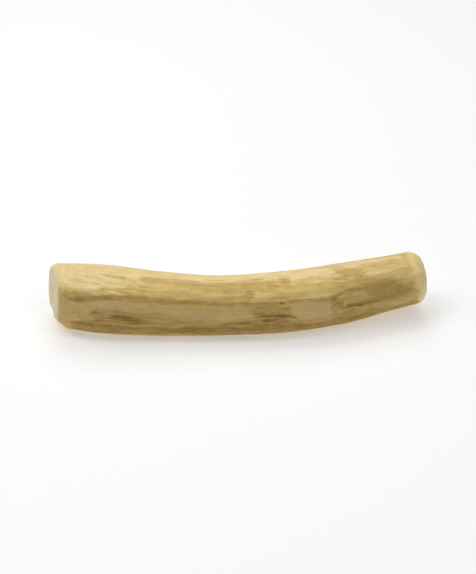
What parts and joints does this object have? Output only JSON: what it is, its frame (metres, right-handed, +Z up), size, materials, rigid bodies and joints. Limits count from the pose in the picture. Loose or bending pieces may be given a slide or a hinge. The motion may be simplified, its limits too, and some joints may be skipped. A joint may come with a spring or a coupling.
{
  "type": "wooden chew stick",
  "caption": "Short peeled length of coffee branch, gently bent, with soft shaved flats and a bevel round each sawn end, for a dog to chew.",
  "frame": {"origin": "on the surface that the stick lies on, under the middle of the stick's box", "axes": "+X along the stick, towards its thinner end, which is raised off the surface; -Y to the front, the side that the stick bows towards; +Z up"},
  "size_m": [0.1938, 0.043, 0.0328],
  "materials": {
    "wood": "peeled and bare, satin, with dark streaks in its hollows"
  },
  "bodies": {
    "root": {"stick": "wood"}
  },
  "joints": []
}
